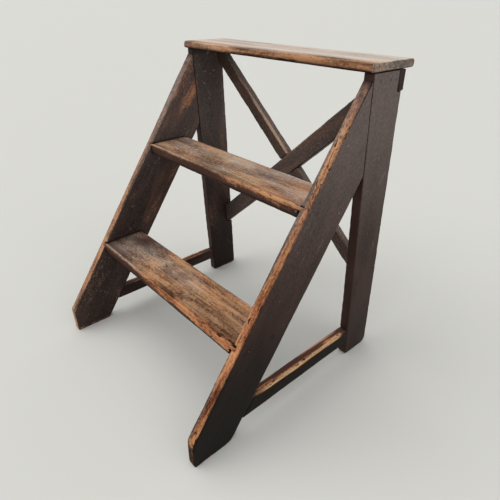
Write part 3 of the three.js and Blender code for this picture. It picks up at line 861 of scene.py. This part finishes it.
def hammered_head():
    """One nail head: domed, and a little out of round."""
    shape = bmesh.new()
    rings = []
    for radius_share, height_share in HEAD_OUTLINE[1:]:
        ring = []
        for i in range(HEAD_SIDES):
            angle = 2 * math.pi * i / HEAD_SIDES
            out_of_round = 1 + 0.05 * math.sin(2 * angle + 0.7) + 0.03 * math.sin(5 * angle)
            radius = radius_share * HEAD_RADIUS * out_of_round
            ring.append(shape.verts.new((radius * math.cos(angle), radius * math.sin(angle),
                                         height_share * HEAD_THICKNESS)))
        rings.append(ring)
    top = shape.verts.new((0, 0, HEAD_OUTLINE[0][1] * HEAD_THICKNESS))
    for i in range(HEAD_SIDES):
        j = (i + 1) % HEAD_SIDES
        shape.faces.new((top, rings[0][i], rings[0][j]))
        for upper, lower in zip(rings, rings[1:]):
            shape.faces.new((upper[i], lower[i], lower[j], upper[j]))
    shape.faces.new(list(reversed(rings[-1])))
    mesh = bpy.data.meshes.new("nail_head")
    bmesh.ops.recalc_face_normals(shape, faces=shape.faces)
    shape.to_mesh(mesh)
    shape.free()
    return mesh


def nail_tree(head, iron):
    """Geometry nodes: on each point a head turned to the point's direction and, below it, a
    pointed shank of the point's length."""
    tree = bpy.data.node_groups.new("nails", "GeometryNodeTree")
    sockets = tree.interface
    sockets.new_socket("Geometry", in_out="INPUT", socket_type="NodeSocketGeometry")
    radius = sockets.new_socket("Shank radius", in_out="INPUT", socket_type="NodeSocketFloat")
    uneven = sockets.new_socket("Unevenness", in_out="INPUT", socket_type="NodeSocketFloat")
    sockets.new_socket("Geometry", in_out="OUTPUT", socket_type="NodeSocketGeometry")
    given = add(tree, "NodeGroupInput").outputs
    outward = add(tree, "GeometryNodeInputNamedAttribute", {"Name": "outward"},
                  data_type="FLOAT_VECTOR")
    reach = add(tree, "GeometryNodeInputNamedAttribute", {"Name": "reach"}, data_type="FLOAT")
    turn = add(tree, "FunctionNodeAlignRotationToVector", {"Vector": outward.outputs[0]}, axis="Z")
    least = add(tree, "ShaderNodeMath", {0: 1.0, 1: given["Unevenness"]}, operation="SUBTRACT")
    size = add(tree, "FunctionNodeRandomValue", {2: least.outputs[0], 3: 1.0, "Seed": 5},
               data_type="FLOAT")
    source = add(tree, "GeometryNodeObjectInfo", {"Object": head})
    heads = add(tree, "GeometryNodeInstanceOnPoints", {
        "Points": given[0], "Instance": source.outputs["Geometry"], "Rotation": turn.outputs[0],
        "Scale": size.outputs[1]})
    shank = add(tree, "GeometryNodeMeshCone", {
        "Radius Bottom": given["Shank radius"], "Vertices": SHANK_SIDES,
        "Radius Top": SHANK_TIP_RADIUS, "Depth": 1.0})
    tipped = add(tree, "GeometryNodeTransform", {
        "Geometry": shank.outputs[0], "Rotation": (math.pi, 0, 0)})
    stretch = add(tree, "ShaderNodeCombineXYZ", {"X": 1.0, "Y": 1.0, "Z": reach.outputs[0]})
    shanks = add(tree, "GeometryNodeInstanceOnPoints", {
        "Points": given[0], "Instance": tipped.outputs[0], "Rotation": turn.outputs[0],
        "Scale": stretch.outputs[0]})
    joined = add(tree, "GeometryNodeJoinGeometry", {0: heads.outputs[0]})
    tree.links.new(shanks.outputs[0], joined.inputs[0])
    real = add(tree, "GeometryNodeRealizeInstances", {"Geometry": joined.outputs[0]})
    painted = add(tree, "GeometryNodeSetMaterial", {"Geometry": real.outputs[0], "Material": iron})
    add(tree, "NodeGroupOutput", {0: painted.outputs[0]})
    return tree, radius.identifier, uneven.identifier


class STOOL_OT_nails(bpy.types.Operator):
    """All the nails, driven where the frame has them"""

    bl_idname = "step_stool.nails"
    bl_label = "Nails"

    def execute(self, context):
        iron = oxidised_iron()
        head = bpy.data.objects.new("nail_head", hammered_head())
        places = bpy.data.meshes.new("nails")
        places.from_pydata([tuple(at) for at, _, _ in NAILS], [], [])
        outward = places.attributes.new("outward", "FLOAT_VECTOR", "POINT")
        outward.data.foreach_set("vector", np.concatenate([-into for _, into, _ in NAILS]))
        reach = places.attributes.new("reach", "FLOAT", "POINT")
        reach.data.foreach_set("value", [long for _, _, long in NAILS])
        nails = bpy.data.objects.new("nails", places)
        context.scene.collection.objects.link(nails)
        tree, radius, uneven = nail_tree(head, iron)
        modifier = nails.modifiers.new("nails", "NODES")
        modifier.node_group = tree
        modifier[radius] = SHANK_RADIUS
        modifier[uneven] = HEAD_UNEVENNESS
        depsgraph = context.evaluated_depsgraph_get()
        nails.data = bpy.data.meshes.new_from_object(nails.evaluated_get(depsgraph))
        nails.modifiers.clear()
        bpy.data.objects.remove(head)
        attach(nails, ROOT)
        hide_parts(*NAIL_NODES)
        return {"FINISHED"}


# ------------------------------------------------------------------ stage

# name, the way to the light, how many degrees of the sky it fills and its strength
LIGHTS = (
    ("overhead", (-0.25, -0.35, 1.0), 75, 1.3),
    ("window", (-0.5, -0.75, 0.75), 50, 0.5),
    ("side_fill", (1.0, 0.1, 0.5), 50, 0.35),
)


def soft_light(name, towards, width, strength):
    """Light from one side of a large studio."""
    lamp = bpy.data.lights.new(name, "SUN")
    lamp.angle = math.radians(width)
    lamp.energy = strength
    light = bpy.data.objects.new(name, lamp)
    light.rotation_euler = Vector(towards).to_track_quat("Z", "Y").to_euler()
    bpy.context.scene.collection.objects.link(light)


class STOOL_OT_stage(bpy.types.Operator):
    """A plain pale floor, soft light from above and the camera"""

    bl_idname = "step_stool.stage"
    bl_label = "Stage"

    def execute(self, context):
        scene = context.scene
        stage = scene.stool_stage
        mesh = bpy.data.meshes.new("floor")
        reach = stage.floor_reach
        corners = [(-reach, -reach, 0), (reach, -reach, 0), (reach, reach, 0), (-reach, reach, 0)]
        mesh.from_pydata(corners, [], [(0, 1, 2, 3)])
        floor = bpy.data.objects.new("floor", mesh)
        scene.collection.objects.link(floor)
        plain = bpy.data.materials.new("plain_floor")
        plain.use_nodes = True
        shader = plain.node_tree.nodes["Principled BSDF"]
        shader.inputs["Base Color"].default_value = list(scene.stool_colours.floor)
        shader.inputs["Roughness"].default_value = 0.85
        mesh.materials.append(plain)

        world = bpy.data.worlds.new("soft_room")
        world.use_nodes = True
        background = world.node_tree.nodes["Background"]
        background.inputs["Color"].default_value = list(scene.stool_colours.sky)
        background.inputs["Strength"].default_value = 0.85
        scene.world = world
        for light in LIGHTS:
            soft_light(*light)

        yaw, pitch, roll = stage.camera_yaw, stage.camera_pitch, stage.camera_roll
        forward = Vector((-math.sin(yaw) * math.cos(pitch), math.cos(yaw) * math.cos(pitch),
                          math.sin(pitch)))
        right = Vector((math.cos(yaw), math.sin(yaw), 0))
        up = right.cross(forward)
        right, up = (math.cos(roll) * right + math.sin(roll) * up,
                     -math.sin(roll) * right + math.cos(roll) * up)
        lens = bpy.data.cameras.new("camera")
        lens.lens = stage.focal_length
        lens.sensor_width = 36
        lens.clip_end = 5 * reach
        camera = bpy.data.objects.new("camera", lens)
        turn = Matrix((right, up, -forward)).transposed()
        camera.matrix_world = Matrix.Translation(stage.camera_place) @ turn.to_4x4()
        scene.collection.objects.link(camera)
        scene.camera = camera
        scene.view_settings.view_transform = "Standard"
        return {"FINISHED"}


# ------------------------------------------------------------------ add-on

OPERATORS = (STOOL_OT_stage, STOOL_OT_top_board, STOOL_OT_treads, STOOL_OT_stringers,
             STOOL_OT_rear_legs, STOOL_OT_foot_rails, STOOL_OT_braces, STOOL_OT_nails)


class STOOL_PT_panel(bpy.types.Panel):
    """Everything that dresses the step stool"""

    bl_label = "Step stool"
    bl_idname = "STOOL_PT_panel"
    bl_space_type = "VIEW_3D"
    bl_region_type = "UI"
    bl_category = "Step stool"

    def draw(self, context):
        scene = context.scene
        for group in (scene.stool_wear, scene.stool_colours, scene.stool_stage):
            box = self.layout.box()
            for name in group.__annotations__:
                box.prop(group, name)
        for operator in OPERATORS:
            self.layout.operator(operator.bl_idname)


CLASSES = (StoolWear, StoolColours, StoolStage, *OPERATORS, STOOL_PT_panel)


def register():
    for cls in CLASSES:
        bpy.utils.register_class(cls)
    bpy.types.Scene.stool_wear = bpy.props.PointerProperty(type=StoolWear)
    bpy.types.Scene.stool_colours = bpy.props.PointerProperty(type=StoolColours)
    bpy.types.Scene.stool_stage = bpy.props.PointerProperty(type=StoolStage)


def unregister():
    del bpy.types.Scene.stool_stage
    del bpy.types.Scene.stool_colours
    del bpy.types.Scene.stool_wear
    for cls in reversed(CLASSES):
        bpy.utils.unregister_class(cls)


def main():
    register()
    for operator in OPERATORS:
        group, name = operator.bl_idname.split(".")
        getattr(getattr(bpy.ops, group), name)()


if __name__ == "__main__":
    main()
